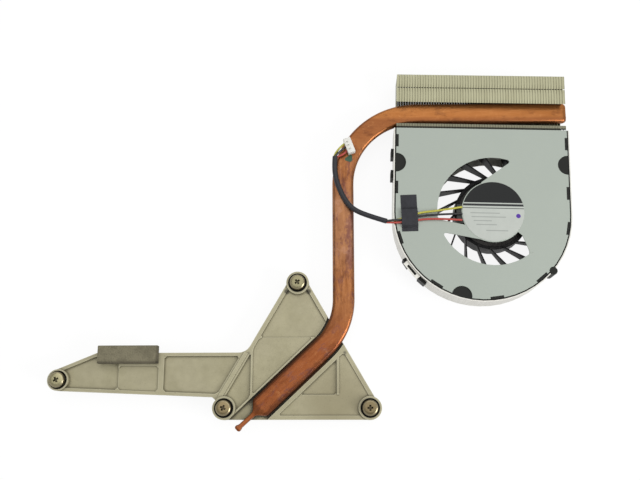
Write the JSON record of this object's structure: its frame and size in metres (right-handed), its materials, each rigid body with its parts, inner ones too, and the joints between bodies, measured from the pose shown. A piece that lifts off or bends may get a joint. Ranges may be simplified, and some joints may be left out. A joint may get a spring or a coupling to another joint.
{
  "type": "laptop heatsink with blower fan",
  "caption": "Laptop heatsink: cast base with spring-loaded captive screws, flattened copper heat pipe, fin stack and a blower fan with its wired plug.",
  "frame": {"origin": "centre of the processor contact face, on the underside of the base", "axes": "+X from the base towards the fan's side, +Y from the base towards the fins, +Z away from the main board"},
  "size_m": [0.1972, 0.1376, 0.0132],
  "materials": {
    "cast_zinc": "matt blasted casting",
    "copper": "machined copper",
    "thermal_pad": "soft filled silicone",
    "foam": "open foam",
    "copper_pipe": "drawn copper, heat stained",
    "fin_metal": "mill finish sheet",
    "cover_metal": "satin sheet",
    "black_plastic": "moulded",
    "tray_metal": "bright sheet",
    "rotor_plastic": "moulded",
    "magnet": "bonded magnet",
    "steel": "ground",
    "screw_steel": "plated",
    "spring_steel": "drawn wire",
    "bearing_brass": "turned",
    "lamination": "stamped stack",
    "winding": "enamelled wire",
    "board": "laminate",
    "label": "printed film",
    "tape": "cloth tape",
    "sleeve": "shrunk tube",
    "wire_yellow": "insulation",
    "wire_black": "insulation",
    "wire_red": "insulation",
    "plug_plastic": "moulded",
    "terminal": "tinned"
  },
  "bodies": {
    "heatsink": {"base_casting": "cast_zinc", "cpu_contact_slug": "copper", "chipset_thermal_pad": "thermal_pad", "foam_block": "foam", "heat_pipe": "copper_pipe", "fin_stack": "fin_metal", "fan_cover": "cover_metal", "fan_frame": "black_plastic", "fan_tray": "tray_metal", "bearing_holder": "bearing_brass", "stator_core": "lamination", "stator_coils": "winding", "motor_board": "board", "motor_label": "label", "wire_tape": "tape", "lead_sleeve": "sleeve", "fan_wire_yellow": "wire_yellow", "fan_wire_black": "wire_black", "fan_wire_red": "wire_red", "plug_wire_yellow": "wire_yellow", "plug_wire_black": "wire_black", "plug_wire_red": "wire_red", "plug_housing": "plug_plastic", "plug_terminals": "terminal", "screw_spring_1": "spring_steel", "screw_spring_2": "spring_steel", "screw_spring_3": "spring_steel", "screw_spring_4": "spring_steel"},
    "rotor": {"impeller": "rotor_plastic", "magnet_ring": "magnet", "rotor_shaft": "steel"},
    "screw_1_washer": {"retaining_washer_1": "steel"},
    "screw_1": {"captive_screw_1": "screw_steel"},
    "screw_2_washer": {"retaining_washer_2": "steel"},
    "screw_2": {"captive_screw_2": "screw_steel"},
    "screw_3_washer": {"retaining_washer_3": "steel"},
    "screw_3": {"captive_screw_3": "screw_steel"},
    "screw_4_washer": {"retaining_washer_4": "steel"},
    "screw_4": {"captive_screw_4": "screw_steel"}
  },
  "joints": [
    {"name": "rotor_spin", "type": "hinge", "parent": "heatsink", "child": "rotor", "pos_m": [0.0739, 0.0569, 0.0012], "axis": [0, 0, 1], "continuous": true},
    {"name": "screw_1_press", "type": "slide", "parent": "heatsink", "child": "screw_1_washer", "axis": [0, 0, 1], "range_m": [-0.0013, 0], "stiffness_N_per_m": 2000, "deforming": ["screw_spring_1"]},
    {"name": "screw_1_turn", "type": "hinge", "parent": "screw_1_washer", "child": "screw_1", "pos_m": [0, 0.03077, 0], "axis": [0, 0, 1], "continuous": true},
    {"name": "screw_2_press", "type": "slide", "parent": "heatsink", "child": "screw_2_washer", "axis": [0, 0, 1], "range_m": [-0.0013, 0], "stiffness_N_per_m": 2000, "deforming": ["screw_spring_2"]},
    {"name": "screw_2_turn", "type": "hinge", "parent": "screw_2_washer", "child": "screw_2", "pos_m": [-0.02665, -0.01539, 0], "axis": [0, 0, 1], "continuous": true},
    {"name": "screw_3_press", "type": "slide", "parent": "heatsink", "child": "screw_3_washer", "axis": [0, 0, 1], "range_m": [-0.0013, 0], "stiffness_N_per_m": 2000, "deforming": ["screw_spring_3"]},
    {"name": "screw_3_turn", "type": "hinge", "parent": "screw_3_washer", "child": "screw_3", "pos_m": [0.02665, -0.01539, 0], "axis": [0, 0, 1], "continuous": true},
    {"name": "screw_4_press", "type": "slide", "parent": "heatsink", "child": "screw_4_washer", "axis": [0, 0, 1], "range_m": [-0.0013, 0], "stiffness_N_per_m": 2000, "deforming": ["screw_spring_4"]},
    {"name": "screw_4_turn", "type": "hinge", "parent": "screw_4_washer", "child": "screw_4", "pos_m": [-0.0887, -0.0051, 0], "axis": [0, 0, 1], "continuous": true}
  ]
}
